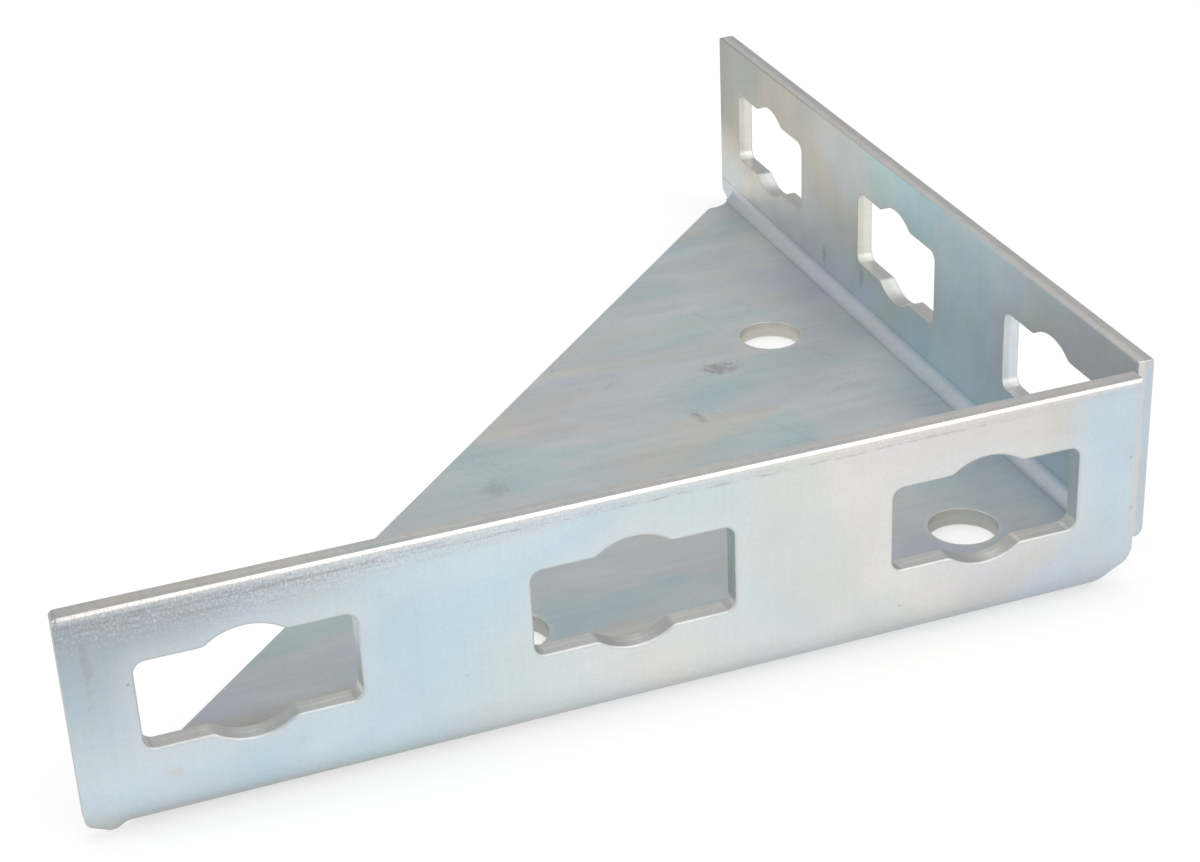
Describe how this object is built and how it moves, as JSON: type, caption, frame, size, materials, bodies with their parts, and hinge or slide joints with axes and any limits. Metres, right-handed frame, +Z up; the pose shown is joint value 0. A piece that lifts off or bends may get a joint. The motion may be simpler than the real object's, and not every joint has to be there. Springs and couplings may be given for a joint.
{
  "type": "strut angle fitting",
  "caption": "Folded sheet-steel angle with a triangular web and two upright slotted flanges, for joining strut channels square.",
  "frame": {"origin": "middle of the part's box in plan, at the underside of the triangular web", "axes": "+Z up from the web along the flanges; +X towards the side flange's outer face; -Y towards the front flange's outer face"},
  "size_m": [0.215, 0.215, 0.0466],
  "materials": {
    "zinc_plated_steel": "bright zinc plating over cold-rolled sheet, pale blue-grey with faint warm patches and fine rolling lines"
  },
  "bodies": {
    "root": {"folded_angle_bracket": "zinc_plated_steel"}
  },
  "joints": []
}
